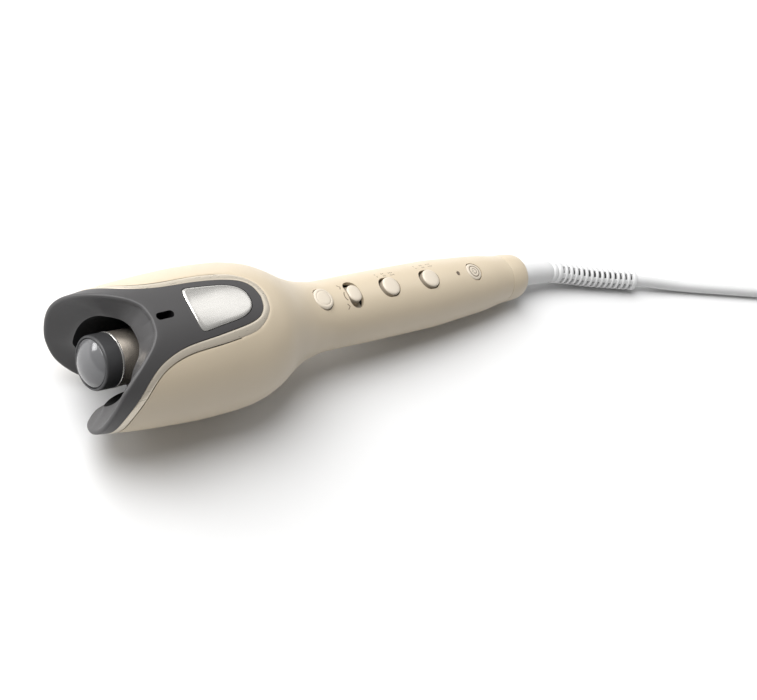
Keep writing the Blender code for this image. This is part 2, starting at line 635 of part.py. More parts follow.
for n, x in enumerate(SCREW_X):
    top = half_height(x)
    cut(chassis, rod(f"boss_bore_{n}", ((-20, 1.3), (TRAY_Z + 3, 1.3)), None, place=(x, 0, 0), axis="Z",
                     steps=12))
    cut(back, rod(f"screw_seat_{n}",
                  ((-top - 2, 3.0), (-top + 1.1, 3.0), (-top + 1.1, 1.5), (-top + 4, 1.5)),
                  None, place=(x, 0, 0), axis="Z", steps=20))
    rod(f"shell_screw_{n + 1}", ((-top + 0.15, 1.9), (-top + 0.45, 2.5), (-top + 0.8, 2.5),
                                 (-top + 0.8, 1.0), (TRAY_Z + 1.0, 1.0)), STEEL, place=(x, 0, 0), axis="Z", steps=14)

block("power_board", (-224.5, -7.2, -5.6), (-142, 7.2, -4.2), BOARD)
rod("capacitor", ((-200, 4.3), (-216, 4.3)), CASE_BLUE, place=(0, 2.2, 0.45), steps=16)
turned("filter_coil", ((-3.9, 6.2), (0.1, 6.2), (0.1, 3.0), (-3.9, 3.0)), COPPER, place=(-188, 0, 0),
       axis="Z", steps=20)
block("power_relay", (-175, -6.4, -3.9), (-158, 6.4, 2.4), COMPONENT, soften=0.4)
block("control_board", (-240, -8.0, BOARD_Z), (-112, 8.0, BOARD_Z + 1.4), BOARD)
PARTS_Z = BOARD_Z + 1.4 + GAP
for name, x in (("curl_switch", CURL_X), ("power_switch", POWER_X)):
    block(name, (x - 3, -3, PARTS_Z), (x + 3, 3, PARTS_Z + 1.7), COMPONENT, soften=0.2)
for name, x, long, wide in (("direction_switch", DIRECTION_X, 7.0, 12.0),
                            ("time_switch", TIME_X + 1.4, 13.0, 7.0),
                            ("temperature_switch", TEMP_X + 1.4, 13.0, 7.0)):
    block(name, (x - long / 2, -wide / 2, PARTS_Z), (x + long / 2, wide / 2, PARTS_Z + 2.4), COMPONENT,
          soften=0.2)

# ---------------------------------------------------------------- controls
BUTTON_FOOT = PARTS_Z + 1.7 + 1.2                     # leaves the button its travel above the switch


def opening(name, x, outline):
    cut(upper, standing(name, [(x + u, v) for u, v in outline], 12, 30))


def ring_outline(r, count=24):
    return [(r * cos(2 * pi * k / count), r * sin(2 * pi * k / count)) for k in range(count)]


opening("curl_opening", CURL_X, ring_outline(6.2))
rod("curl_button", ((BUTTON_FOOT, 2.0), (13.0, 2.0), (13.0, 5.9), (18.0, 5.9), (18.9, 5.5), (19.25, 4.6),
                    (19.3, 2.0)), CREAM, place=(CURL_X, 0, 0), axis="Z", steps=24)

opening("power_opening", POWER_X, ring_outline(5.4))
button = rod("power_button", ((BUTTON_FOOT, 2.0), (11.6, 2.0), (11.6, 5.1), (20.0, 5.1)), CREAM,
             place=(POWER_X, 0, 0), axis="Z", steps=28)
cut(button, body_core("power_button_top", 0.05, -250, -220, 12, 72), "INTERSECT")

opening("led_opening", LED_X, ring_outline(1.3, 12))
guide = rod("indicator_light", ((PARTS_Z, 0.95), (20.0, 0.95)), CLEAR, place=(LED_X, 0, 0), axis="Z",
            steps=12)
cut(guide, body_core("indicator_top", 0.1, -230, -212, 4, 72), "INTERSECT")

# each slider: place, opening (length along x, width, corner), knob (length, width, corner), and how
# far ahead of the knob's place the opening's middle lies
SLIDERS = (("direction", DIRECTION_X, 8.9, 15.2, 4.4, 8.2, 9.6, 4.05, 0.0),
           ("time", TIME_X, 13.4, 11.5, 5.7, 10.6, 10.6, 5.2, 0.94),
           ("temperature", TEMP_X, 13.4, 11.5, 5.7, 10.6, 10.6, 5.2, 0.94))
SKIRT_Z = PARTS_Z + 2.4 + GAP
for name, x, long, wide, corner, knob_long, knob_wide, knob_corner, ahead in SLIDERS:
    opening(f"{name}_opening", x, [(ahead + u, v) for u, v in rounded(long, wide, corner)])
    outline = rounded(knob_long, knob_wide, knob_corner)
    knob = plate(f"{name}_slider", outline, ((SKIRT_Z + 0.5, 0), (17.6, 0), (18.25, 0.25), (18.6, 0.9)),
                 CREAM, place=(x, 0, 0))
    skirt_long, skirt_wide = (10.4, 13.4) if name == "direction" else (16.4, 12.6)
    skirt = standing(f"{name}_skirt", [(x + u, v) for u, v in rounded(skirt_long, skirt_wide, 1.0, 3)],
                     SKIRT_Z, SKIRT_Z + 1.0)
    cut(knob, skirt, "UNION")

# ---------------------------------------------------------------- cord clamp and wiring
clamp = block("cord_clamp", (-262, -7.0, -7.6), (-256, 7.0, 5.6), NYLON)
cut(clamp, rod("clamp_bore", ((-250, CORD_R + GAP), (-270, CORD_R + GAP)), None, steps=16))


def bent(points, count):
    """Points along a smooth line through the given ones."""
    keys = [[(k, p[axis]) for k, p in enumerate(points)] for axis in range(3)]
    return [tuple(eased(key, (len(points) - 1) * n / count) for key in keys) for n in range(count + 1)]


cord_curve("heater_leads", bent(((-78.6, 10, 6), (-92, 12, 3), (-104, 8, 0), (-113, 2.5, -2.5),
                                 (-139, 2.5, -4.5)), 20), 1.3, WIRE, frame, 1)
cord_curve("motor_leads", bent(((-106.2, 0, -11.0), (-107.6, -1, -8.5), (-110, -2, -5.5), (-118, -3, -4.7),
                                (-139, -3, -4.9)), 20), 1.0, BLACK, frame, 1)
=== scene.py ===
from math import atan, cos, degrees, hypot, pi, radians, sin, sqrt, tan

import bmesh
import bpy
from mathutils import Matrix, Vector

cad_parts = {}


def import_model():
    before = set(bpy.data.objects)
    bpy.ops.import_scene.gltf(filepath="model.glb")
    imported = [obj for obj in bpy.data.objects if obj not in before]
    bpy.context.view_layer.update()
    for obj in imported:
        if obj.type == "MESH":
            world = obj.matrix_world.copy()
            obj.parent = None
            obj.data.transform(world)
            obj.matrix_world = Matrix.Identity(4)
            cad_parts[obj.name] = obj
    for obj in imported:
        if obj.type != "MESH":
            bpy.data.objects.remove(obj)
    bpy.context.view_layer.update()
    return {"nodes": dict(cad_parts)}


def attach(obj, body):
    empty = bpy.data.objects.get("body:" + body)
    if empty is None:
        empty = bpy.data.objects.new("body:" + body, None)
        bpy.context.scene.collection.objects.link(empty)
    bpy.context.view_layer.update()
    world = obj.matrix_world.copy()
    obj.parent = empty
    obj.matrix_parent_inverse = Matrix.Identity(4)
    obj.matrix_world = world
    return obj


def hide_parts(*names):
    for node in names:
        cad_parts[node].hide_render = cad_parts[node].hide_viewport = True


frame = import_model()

scene = bpy.context.scene
nodes = frame["nodes"]

# ---------------------------------------------------------------- the object's own dimensions
MM = 0.001
GAP = 0.3                                   # clearance between touching pieces
TILT, LIFT, SHIFT_X = radians(5.95), 40.95, 179.87     # slope and place of the axis in the shared frame
WALL, SEAM_X, TAIL_X = 2.2, -266.0, -279.2  # shells, seam to the end cap, end of the cap in the CAD
MOUTH_R, TUBE_END, TUBE_WALL = 20.0, -36.8, 2.0
CORD_R, COIL_R, COIL_THICK = 3.2, 35.0, 9.3  # cord, and the coil's mean and section radius
CURL_X, DIRECTION_X, TIME_X, TEMP_X, LED_X, POWER_X = -125.1, -146.15, -171.7, -200.3, -221.7, -234.6
SKIRT_Z = 11.4                              # underside of the sliders
FINE = 4                                    # loops for each index of the head's edges

# stations (x, half width, half height) of the body's outer surface
BODY = ((-280, 12.6, 12.6), (-266, 13.0, 13.0), (-250, 15.0, 15.0), (-230, 16.4, 16.4),
        (-208, 17.6, 17.6), (-165, 17.8, 17.8), (-134, 17.6, 17.6), (-119, 19.6, 19.5),
        (-107, 23.5, 23.6), (-96, 29.0, 28.8), (-86, 33.0, 32.2), (-72, 35.3, 34.2),
        (-54, 35.7, 34.9), (-30, 34.8, 33.6), (-12, 33.5, 32.0), (14, 30.9, 29.4))

# edges round the head, as (index, angle, x), from the middle of the control side over the seam between
# the shells at SPLIT to the middle of the back at LAST; the other side mirrors them
LAST, SPLIT = 27, 17
RIM = ((0, 90, -16.2), (2, 79, -15.4), (4, 70, -12.7), (6, 62, -8.8), (8, 53, -4.3), (10, 43, 0.2),
       (12, 29, 4.3), (15, 0, 6.8), (17, -32, 4.5), (18, -44, 2.2), (19, -54, -0.8), (20, -62, -5),
       (21, -68, -9.2), (22, -72.3, -13.4), (23, -74.4, -19), (24, -74.7, -27.4), (25, -76.4, -32.1),
       (26, -82.2, -35.6), (27, -90, -36.8))
HOLE = ((0, 90, -12.9), (2, 79, -12.9), (4, 69, -12.1), (6, 61, -11), (8, 52, -8.9), (10, 43, -7.3),
        (12, 29, -6.4), (15, 0, -4), (17, -31, -3.1), (18, -41, -5.3), (19, -50, -9), (20, -56, -12.5),
        (21, -60, -16.2), (22, -61.8, -18.8), (23, -62.3, -20.2), (24, -62.7, -21.6),
        (25, -66.3, -25.4), (26, -76.6, -28.7), (27, -90, -30))
BEZEL = ((0, 90, -76), (1, 82.5, -75), (2, 77, -72.8), (3, 73.3, -69.5), (4, 70.3, -63),
         (6, 66.7, -46.5), (8, 63.3, -28), (10, 54, -14), (12, 36, -5.4), (15, 0, 1.2),
         (17, -32, -0.6), (18, -44, -4), (19, -53, -8.2), (20, -59.5, -12.6), (21, -63.5, -17.2),
         (22, -66, -22), (23, -67.6, -27), (24, -69.4, -32), (25, -73, -37.2), (26, -80, -41.2),
         (27, -90, -42.6))
TRIM = ((0, 90, -80), (1, 80.5, -79), (2, 73.8, -76.2), (3, 68, -72), (4, 63.5, -66.5),
        (6, 60, -51), (8, 57.2, -30), (10, 49, -16.2), (12, 32.5, -8.4), (15, 0, -2.9),
        (17, -32, -4.7), (18, -42, -8.2), (19, -50, -12.4), (20, -56, -17), (21, -59.8, -21.6),
        (22, -62.2, -26.3), (23, -64, -31.2), (24, -66.2, -36), (25, -70.6, -41.2), (26, -78.6, -45.2),
        (27, -90, -46.6))

to_world = Matrix.Translation(Vector((SHIFT_X, 0, LIFT)) * MM) @ Matrix.Rotation(-TILT, 4, "Y")


def world(p):
    return to_world @ (Vector(p) * MM)


def eased(keys, t):
    """Monotone cubic through (t, value) keys, level at both ends."""
    if t <= keys[0][0]:
        return keys[0][1]
    if t >= keys[-1][0]:
        return keys[-1][1]
    slopes = [(b[1] - a[1]) / (b[0] - a[0]) for a, b in zip(keys, keys[1:])]
    bends = [0.0] + [2 * p * q / (p + q) if p * q > 0 else 0.0 for p, q in zip(slopes, slopes[1:])] + [0.0]
    for i, (a, b) in enumerate(zip(keys, keys[1:])):
        if t <= b[0]:
            h = b[0] - a[0]
            s = (t - a[0]) / h
            return (a[1] * (1 + 2 * s) * (1 - s) ** 2 + b[1] * s * s * (3 - 2 * s)
                    + h * (bends[i] * s * (1 - s) ** 2 - bends[i + 1] * s * s * (1 - s)))


def s_curve(t):
    t = min(max(t, 0.0), 1.0)
    return t * t * (3 - 2 * t)


def half_width(x):
    return eased([(k[0], k[1]) for k in BODY], x)


def half_height(x):
    return eased([(k[0], k[2]) for k in BODY], x)


def skin(x, angle, inset=0.0):
    """A point of the body's surface, or of the surface that lies inset below it."""
    a = radians(angle)
    return (x, (half_width(x) - inset) * cos(a), (half_height(x) - inset) * sin(a))


def top(x, y):
    """Height of the body's surface above a point of its mid plane."""
    return half_height(x) * sqrt(max(0.0, 1 - (y / half_width(x)) ** 2))


def bore(x, angle, r):
    return (x, r * cos(radians(angle)), r * sin(radians(angle)))


def edge(keys, index, push=0.0):
    """(x, angle) of a head edge at an index, pushed towards the cord by a distance along the surface."""
    i = abs(index)
    angles, places = [(k[0], k[1]) for k in keys], [(k[0], k[2]) for k in keys]
    angle, x = eased(angles, i), eased(places, i)
    if push:
        j, k = max(i - 0.5, 0), min(i + 0.5, LAST)
        run = eased(places, k) - eased(places, j)
        turn = eased(angles, k) - eased(angles, j)
        around = radians(turn) * hypot(half_width(x) * sin(radians(angle)),
                                       half_height(x) * cos(radians(angle)))
        size = hypot(run, around)
        x += push * around / size
        angle -= push * run / size / radians(1) / half_width(x)
    if i in (0, LAST):
        angle = 90.0 if i == 0 else -90.0
    return x, (180.0 - angle if index < 0 else angle)


def even_angle(index):
    """Angle round the handle at which a shell's row at this index lies beyond the head."""
    i = abs(index)
    angle = 90 - i * 122 / SPLIT if i <= SPLIT else -32 - (i - SPLIT) * 58 / (LAST - SPLIT)
    return 180 - angle if index < 0 else angle


HEAD = [k / FINE for k in range(LAST * FINE + 1)] + [-k / FINE for k in range(LAST * FINE - 1, 0, -1)]


# ---------------------------------------------------------------- materials
def mapped(tree, stretch):
    """Object coordinates turned into the handle's axis, shortened along it for brushed finishes."""
    where = tree.nodes.new("ShaderNodeTexCoord")
    turn = tree.nodes.new("ShaderNodeMapping")
    turn.inputs["Rotation"].default_value = (0, TILT, 0)
    turn.inputs["Scale"].default_value = stretch
    tree.links.new(where.outputs["Object"], turn.inputs["Vector"])
    return turn.outputs["Vector"]


def noise(tree, vector, scale, detail):
    made = tree.nodes.new("ShaderNodeTexNoise")
    made.inputs["Scale"].default_value, made.inputs["Detail"].default_value = scale, detail
    tree.links.new(vector, made.inputs["Vector"])
    return made.outputs["Fac"]


def ranged(tree, value, low, high):
    """The middle stretch of a noise value, spread from low to high."""
    made = tree.nodes.new("ShaderNodeMapRange")
    for name, number in (("From Min", 0.3), ("From Max", 0.7), ("To Min", low), ("To Max", high)):
        made.inputs[name].default_value = number
    tree.links.new(value, made.inputs["Value"])
    return made.outputs["Result"]


def finish(name, colour, rough, metal=0.0, shade=0.9, grain=2500, relief=0.012, strength=0.25,
           stretch=(1, 1, 1), blotch=30, **sockets):
    """A moulded, painted or brushed surface: broad colour drift, fine grain in relief and roughness.

    shade darkens the drift's low end, grain and blotch are noise scales, relief is in millimetres.
    """
    made = bpy.data.materials.new(name)
    made.use_nodes = True
    tree = made.node_tree
    shader = tree.nodes["Principled BSDF"]
    vector = mapped(tree, stretch)
    fine, broad = noise(tree, vector, grain, 3), noise(tree, vector, blotch, 2)
    mix = tree.nodes.new("ShaderNodeMix")
    mix.data_type = "RGBA"
    mix.inputs[6].default_value = (*[c * shade for c in colour], 1)
    mix.inputs[7].default_value = (*colour, 1)
    tree.links.new(ranged(tree, broad, 0.0, 1.0), mix.inputs[0])
    tree.links.new(mix.outputs[2], shader.inputs["Base Color"])
    tree.links.new(ranged(tree, fine, rough * 0.88, rough * 1.12), shader.inputs["Roughness"])
    bump = tree.nodes.new("ShaderNodeBump")
    bump.inputs["Strength"].default_value, bump.inputs["Distance"].default_value = strength, relief * MM
    tree.links.new(fine, bump.inputs["Height"])
    tree.links.new(bump.outputs["Normal"], shader.inputs["Normal"])
    shader.inputs["Metallic"].default_value = metal
    for socket, value in sockets.items():
        shader.inputs[socket.replace("_", " ")].default_value = value
    return made


CREAM = finish("cream_satin", (0.6, 0.51, 0.38), 0.36, shade=0.965, grain=1800, relief=0.01)
CREAM_KNOB = finish("cream_knob", (0.64, 0.57, 0.47), 0.34, shade=0.965, grain=2400, relief=0.008)
# darker copy of the knobs' cream for their side walls: painted shade of the gap round each knob
KNOB_SIDE_PAINTED_SHADE = finish("cream_knob_side_painted_shade", (0.44, 0.38, 0.3), 0.4, shade=0.9, grain=2400, relief=0.008)
DARK = finish("dark_grey_satin", (0.068, 0.066, 0.0665), 0.46, shade=0.93, grain=2600, relief=0.014,
              strength=0.3, Specular_IOR_Level=0.4)
CHAMPAGNE = finish("champagne_brushed", (0.7, 0.63, 0.52), 0.3, 0.5, 0.95, 1400, 0.002, 0.25,
                   (0.08, 1, 1), 60)
SILVER = finish("silver_brushed", (0.83, 0.81, 0.77), 0.26, 0.8, 0.95, 1700, 0.0015, 0.25, (0.06, 1, 1), 80)
BRONZE = finish("bronze_ceramic", (0.56, 0.5, 0.43), 0.3, 0.85, 0.96, 3000, 0.003, 0.2)
BLACK = finish("black_matt", (0.009, 0.009, 0.0095), 0.6, shade=0.8, grain=2200, relief=0.015,
               Specular_IOR_Level=0.12)
CAP_BLACK = finish("cap_satin", (0.042, 0.042, 0.0435), 0.42, shade=0.92, grain=2600, relief=0.01)
DOME_GREY = finish("dome_gloss", (0.13, 0.13, 0.134), 0.16, shade=0.94, grain=900, relief=0.003,
                   strength=0.15, Coat_Weight=0.3, Coat_Roughness=0.06)
PRINT = finish("print_taupe", (0.2, 0.155, 0.11), 0.5, shade=0.85, grain=3500)
LAMP = finish("lamp_taupe", (0.16, 0.125, 0.095), 0.3, shade=0.85, grain=3000)
WHITE = finish("white_vinyl", (0.68, 0.68, 0.68), 0.42, shade=0.97, grain=2400, relief=0.012)
# near black for the tube seen through the boot's slots: painted shade
PAINTED_SHADE_SLEEVE = finish("grey_painted_shade_sleeve", (0.03, 0.03, 0.03), 0.6, shade=0.9, grain=2400)
NYLON = finish("ivory_nylon_moulded", (0.7, 0.67, 0.58), 0.5, shade=0.95, grain=2000)
STEEL = finish("steel_turned", (0.56, 0.56, 0.57), 0.28, 1.0, 0.9, 2500, 0.006, 0.3, (1, 0.1, 0.1))
ALLOY = finish("aluminium_extruded", (0.66, 0.66, 0.67), 0.38, 1.0, 0.93, 1800, 0.006, 0.3, (0.05, 1, 1))
CERAMIC = finish("ceramic_fired", (0.32, 0.3, 0.29), 0.62, shade=0.85, grain=1500, relief=0.02)
BOARD = finish("solder_mask", (0.014, 0.018, 0.014), 0.4, shade=0.7, grain=700, relief=0.02, blotch=220)
COMPONENT = finish("moulded_component", (0.02, 0.02, 0.022), 0.42, shade=0.8, grain=2400)
SHRINK = finish("shrink_sleeve", (0.03, 0.05, 0.16), 0.3, shade=0.85, grain=1200)
COPPER = finish("enamelled_copper", (0.55, 0.24, 0.1), 0.32, 0.9, 0.8, 1600, 0.05, 0.5, (1, 1, 0.15))
WIRE = finish("silicone_wire", (0.5, 0.05, 0.04), 0.5, shade=0.9, grain=1800)
TIE = finish("hook_tie", (0.03, 0.03, 0.033), 0.75, shade=0.7, grain=1600, relief=0.12, strength=0.8)


# ---------------------------------------------------------------- piece helpers
def faces_of(rows, count, closed_rows):
    """Quads through rows of equal loops, with capped ends where the rows don't close on themselves."""
    last = rows if closed_rows else rows - 1
    faces = [(r * count + k, r * count + (k + 1) % count, (r + 1) % rows * count + (k + 1) % count,
              (r + 1) % rows * count + k) for r in range(last) for k in range(count)]
    if not closed_rows:
        faces += [tuple(range(count - 1, -1, -1)), tuple(range((rows - 1) * count, rows * count))]
    return faces


def put(name, points, faces, mat, smooth=35.0):
    """A closed mesh in the shared frame from points in millimetres of the handle's axis."""
    data = bpy.data.meshes.new(name)
    data.from_pydata([world(p) for p in points], [], faces)
    work = bmesh.new()
    work.from_mesh(data)
    bmesh.ops.recalc_face_normals(work, faces=work.faces)
    work.to_mesh(data)
    work.free()
    data.materials.append(mat)
    made = bpy.data.objects.new(name, data)
    scene.collection.objects.link(made)
    data.shade_smooth()
    data.set_sharp_from_angle(angle=radians(smooth))
    return made


def loft(name, loops, mat, closed=False, smooth=35.0):
    return put(name, [p for loop in loops for p in loop], faces_of(len(loops), len(loops[0]), closed),
               mat, smooth)


def carve(target, cutters, smooth=35.0):
    """Cuts the cutters out of a piece for good and removes them."""
    for cutter in cutters:
        step = target.modifiers.new(cutter.name, "BOOLEAN")
        step.operation, step.solver, step.object = "DIFFERENCE", "EXACT", cutter
    graph = bpy.context.evaluated_depsgraph_get()
    done = bpy.data.meshes.new_from_object(target.evaluated_get(graph))
    target.modifiers.clear()
    target.data = done
    done.shade_smooth()
    done.set_sharp_from_angle(angle=radians(smooth))
    for cutter in cutters:
        bpy.data.objects.remove(cutter)


def stands_for(piece, slot, *replaced, body="handle"):
    """Puts a piece on its body, in place of the CAD nodes that it replaces, which it hides; slot is not used.
    """
    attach(piece, body)
    if replaced:
        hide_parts(*replaced)
    return piece


def ring_points(r, count=64):
    return [(r * cos(2 * pi * k / count), r * sin(2 * pi * k / count)) for k in range(count)]


def rounded(length, width, radius, arc=12):
    """Outline of a rectangle with round corners, about its middle."""
    out = []
    for cx, cy, start in ((1, 1, 0), (-1, 1, 90), (-1, -1, 180), (1, -1, 270)):
        for k in range(arc + 1):
            a = radians(start + 90 * k / arc)
            out.append((cx * (length / 2 - radius) + radius * cos(a),
                        cy * (width / 2 - radius) + radius * sin(a)))
    return out


def standing(name, outline, z0, z1):
    """Upright solid with an outline in x and y."""
    return loft(name, [[(x, y, z) for x, y in outline] for z in (z0, z1)], BLACK)


def turned(name, profile, mat, place=(0, 0, 0), upright=False, steps=96, smooth=35.0):
    """A solid of revolution about x, or about z where upright: (along, radius) points, ends on the axis."""
    loops = []
    for along, r in profile:
        circle = ring_points(max(r, 0.01), steps)
        loops.append([(place[0] + u, place[1] + v, place[2] + along) if upright
                      else (place[0] + along, place[1] + u, place[2] + v) for u, v in circle])
    return loft(name, loops, mat, smooth=smooth)


def collar(name, profile, mat, steps=96, smooth=35.0):
    """A ring or tube about x from a closed profile of (along, radius) points."""
    return loft(name, [[(along, u, v) for u, v in ring_points(r, steps)] for along, r in profile], mat,
                closed=True, smooth=smooth)


# ---------------------------------------------------------------- camera, floor and light
scene.view_settings.view_transform = "Standard"
# the camera's right and down in the handle's axis, fitted to the photograph's viewing angle
right, down = Vector((-0.716, 0.468, 0.518)), Vector((0.167, 0.835, -0.524))
right.normalize()
ahead = right.cross(down).normalized()
down = ahead.cross(right).normalized()
turn = to_world.to_3x3()
eye = bpy.data.cameras.new("camera")
eye.lens, eye.sensor_width = 78.75, 36
camera = bpy.data.objects.new("camera", eye)
camera.matrix_world = (Matrix.Translation(world((401.64, 263.87, 559.52)))
                       @ Matrix((turn @ right, turn @ -down, turn @ -ahead)).transposed().to_4x4())
scene.collection.objects.link(camera)
scene.camera = camera

FLOOR_HALF = 4.0
floor_mesh = bpy.data.meshes.new("floor")
corners = ((-1, -1), (1, -1), (1, 1), (-1, 1))
floor_mesh.from_pydata([(sx * FLOOR_HALF, sy * FLOOR_HALF, 0) for sx, sy in corners], [], [(0, 1, 2, 3)])
floor = bpy.data.objects.new("floor", floor_mesh)
scene.collection.objects.link(floor)
floor_mesh.materials.append(finish("floor_paper", (0.8, 0.8, 0.8), 0.7, shade=0.995, grain=400, relief=0.01))


def soft_light(name, energy, size, place, target=(0.0, 0.0, 0.03), size_y=None):
    """An area light in metres of the shared frame, aimed at a target."""
    data = bpy.data.lights.new(name, "AREA")
    data.energy, data.size = energy, size
    if size_y:
        data.shape, data.size_y = "RECTANGLE", size_y
    lamp = bpy.data.objects.new(name, data)
    lamp.location = place
    lamp.rotation_euler = (Vector(target) - Vector(place)).to_track_quat("-Z", "Y").to_euler()
    scene.collection.objects.link(lamp)


sun = bpy.data.lights.new("key", "SUN")
sun.energy, sun.angle = 3.6, radians(46)
key = bpy.data.objects.new("key", sun)
key.rotation_euler = Vector((-0.4, 0.36, -0.84)).to_track_quat("-Z", "Y").to_euler()
scene.collection.objects.link(key)
soft_light("rim", 3.0, 1.0, (-1.02, -0.5, 1.2), (0.05, 0, 0.05))
soft_light("far_side", 7.5, 1.0, (0.15, -1.35, 0.8))
soft_light("front", 1.9, 0.3, (0.66, -0.5, 0.24), (0.18, 0, 0.045), 0.2)
sky = bpy.data.worlds.new("world")
scene.world = sky
sky.use_nodes = True
sky.node_tree.nodes["Background"].inputs["Color"].default_value = (1, 1, 1, 1)
sky.node_tree.nodes["Background"].inputs["Strength"].default_value = 0.2

# ---------------------------------------------------------------- cord, boot and plug
YAW, YAW_OVER = radians(17.5), 52.0         # the boot's bend to the side, and the length it takes
LEVEL_FROM, LEVEL_OVER = 40.0, 38.0         # where the boot starts to come level, and the length it takes
BOOT_LENGTH, RUN = 91.0, 175.0              # boot, and the cord's straight run to the coil
FLOOR_LINE, DROP_OVER = CORD_R + 0.1, 40.0  # height of the lying cord, and how soon it gets there


def trail(s):
    """Point, direction, side and upper side of the cord's line, s millimetres beyond the end cap."""
    steps = max(int(abs(s)), 1)
    point, ds, way = Vector((TAIL_X, 0, 0)), s / steps, Vector((-1, 0, 0))
    for k in range(steps):
        at = (k + 0.5) * ds
        yaw = YAW * s_curve(at / YAW_OVER)
        pitch = atan(tan(TILT) * cos(yaw)) * s_curve((at - LEVEL_FROM) / LEVEL_OVER)
        way = Vector((-cos(yaw) * cos(pitch), sin(yaw) * cos(pitch), sin(pitch)))
        point = point + way * ds
    side = Vector((way.y, -way.x, 0)).normalized()
    return point, way, side, side.cross(way)


exit_point, exit_way = trail(BOOT_LENGTH + 1.0)[:2]
exit_mm, exit_dir = world(exit_point) / MM, turn @ exit_way
floor_dir = Vector((exit_dir.x, exit_dir.y, 0)).normalized()
side_dir = Vector((-floor_dir.y, floor_dir.x, 0))
far = exit_mm + floor_dir * RUN
COIL_START = COIL_R + COIL_THICK + CORD_R + GAP
coil_centre = Vector((far.x, far.y, 0)) + side_dir * COIL_START - floor_dir * 2

# the bundle's seven turns as (offset from the mean radius, height), each next to the one before it
STEP = 6.5
LOW, MID, HIGH = 3.3, 8.95, 14.6
TURNS = [(STEP / 2, LOW), (-STEP / 2, LOW), (0, MID), (-STEP, MID), (-STEP / 2, HIGH), (STEP / 2, HIGH),
         (STEP, MID)]
PER_TURN = 20                               # points of the route in each turn
MOVE_OVER, SETTLE_OVER = 0.3, 0.45          # turns taken to reach the next place, and the first one
LAST_PART = 0.22                            # share of a turn after the last full one
PLUG_AHEAD, PLUG_ASIDE, PLUG_Z = 47.5, 14.5, 8.4


def own_axis(p):
    """A point given in millimetres of the shared frame, along the handle's own axis."""
    return to_world.inverted() @ (p * MM) / MM


def round_coil(r, angle, z):
    return coil_centre + side_dir * (-r * cos(angle)) + floor_dir * (r * sin(angle)) + Vector((0, 0, z))


def cord_route():
    """Points in millimetres of the shared frame: boot, floor, the coil's turns, plug."""
    out = [world(trail(s)[0]) / MM for s in (-20, -13, -6, 1, 11, 21, 31, 41, 51, 61, 71, 81, 92)]
    for k in range(1, 21):
        t = k / 20
        drop = s_curve(t * RUN / DROP_OVER)
        flat = exit_mm + floor_dir * (RUN * t)
        out.append(Vector((flat.x, flat.y, exit_mm.z * (1 - drop) + FLOOR_LINE * drop)))
    pulled = 3 / (2 + cos(2 * pi / PER_TURN))        # the spline runs inside its points on a turn
    for k in range(2, int(PER_TURN * (len(TURNS) + LAST_PART))):
        turns = k / PER_TURN
        lap = min(int(turns), len(TURNS) - 1)
        share = s_curve((turns - lap) / MOVE_OVER) if lap else s_curve(turns / SETTLE_OVER)
        before = TURNS[lap - 1] if lap else (COIL_START - COIL_R, LOW)
        now = TURNS[lap]
        r = (COIL_R + before[0] + (now[0] - before[0]) * share) * pulled
        z = before[1] + (now[1] - before[1]) * share
        out.append(round_coil(r, 2 * pi * k / PER_TURN, z))
    for aside, z in ((4.0, MID), (PLUG_ASIDE, PLUG_Z), (PLUG_ASIDE + 8, PLUG_Z), (PLUG_ASIDE + 12, PLUG_Z)):
        out.append(coil_centre + floor_dir * PLUG_AHEAD + side_dir * aside + Vector((0, 0, z)))
    return out


route = cord_route()
flex_data = bpy.data.curves.new("mains_lead", "CURVE")
flex_data.dimensions, flex_data.fill_mode = "3D", "FULL"
flex_data.bevel_depth, flex_data.bevel_resolution, flex_data.use_fill_caps = CORD_R * MM, 6, True
line = flex_data.splines.new("NURBS")
line.points.add(len(route) - 1)
for spot, p in zip(line.points, route):
    spot.co = (*(p * MM), 1)
line.order_u, line.use_endpoint_u, line.resolution_u = 4, True, 4
lead = bpy.data.objects.new("mains_lead", flex_data)
scene.collection.objects.link(lead)
flex_data.materials.append(WHITE)
stands_for(lead, "white_rubber", "power_cord", "cord_coil")

# plug: a squarish oval body that swells towards its face, as (distance, width, height) stations
plug_place = coil_centre + floor_dir * PLUG_AHEAD + side_dir * PLUG_ASIDE
PLUG = ((0, 6.8, 6.8), (2.5, 8.2, 8.2), (8, 11.6, 10.4), (13, 15.6, 12.4), (18, 18.6, 13.8),
        (23, 19.2, 14.4), (28, 20.6, 15.3), (31, 21, 15.6), (32.3, 20.6, 15.2), (33, 19.4, 14.2))
SQUARISH = 0.75
plug_loops = []
for x, w, h in PLUG:
    loop = []
    for k in range(40):
        a = 2 * pi * k / 40
        u = abs(cos(a)) ** SQUARISH * (1 if cos(a) > 0 else -1) * w / 2
        v = abs(sin(a)) ** SQUARISH * (1 if sin(a) > 0 else -1) * h / 2
        loop.append(own_axis(plug_place + side_dir * x - floor_dir * u + Vector((0, 0, PLUG_Z + v))))
    plug_loops.append(loop)
plug_body = loft("plug_shell", plug_loops, WHITE, smooth=50)
stands_for(plug_body, "white_rubber", "plug_body")

# tie round the coil's bundle, a flat strap whose underside lies on the floor
TIE_AT, TIE_WIDE = 3.6, 0.13                # its middle and half its width, as angles round the coil
TIE_IN, TIE_OUT = (9.75, 0.4), (10.6, 0.05)  # radius round the bundle and least height of each face
tie_loops = []
for k in range(40):
    a = 2 * pi * k / 40
    loop = []
    for swing, (grow, lowest) in ((-1, TIE_IN), (1, TIE_IN), (1, TIE_OUT), (-1, TIE_OUT)):
        z = max(MID + grow * sin(a), lowest)
        loop.append(own_axis(round_coil(COIL_R + grow * cos(a), TIE_AT + swing * TIE_WIDE, z)))
    tie_loops.append(loop)
tie = loft("coil_tie", tie_loops, TIE, closed=True)
stands_for(tie, "black_plastic")

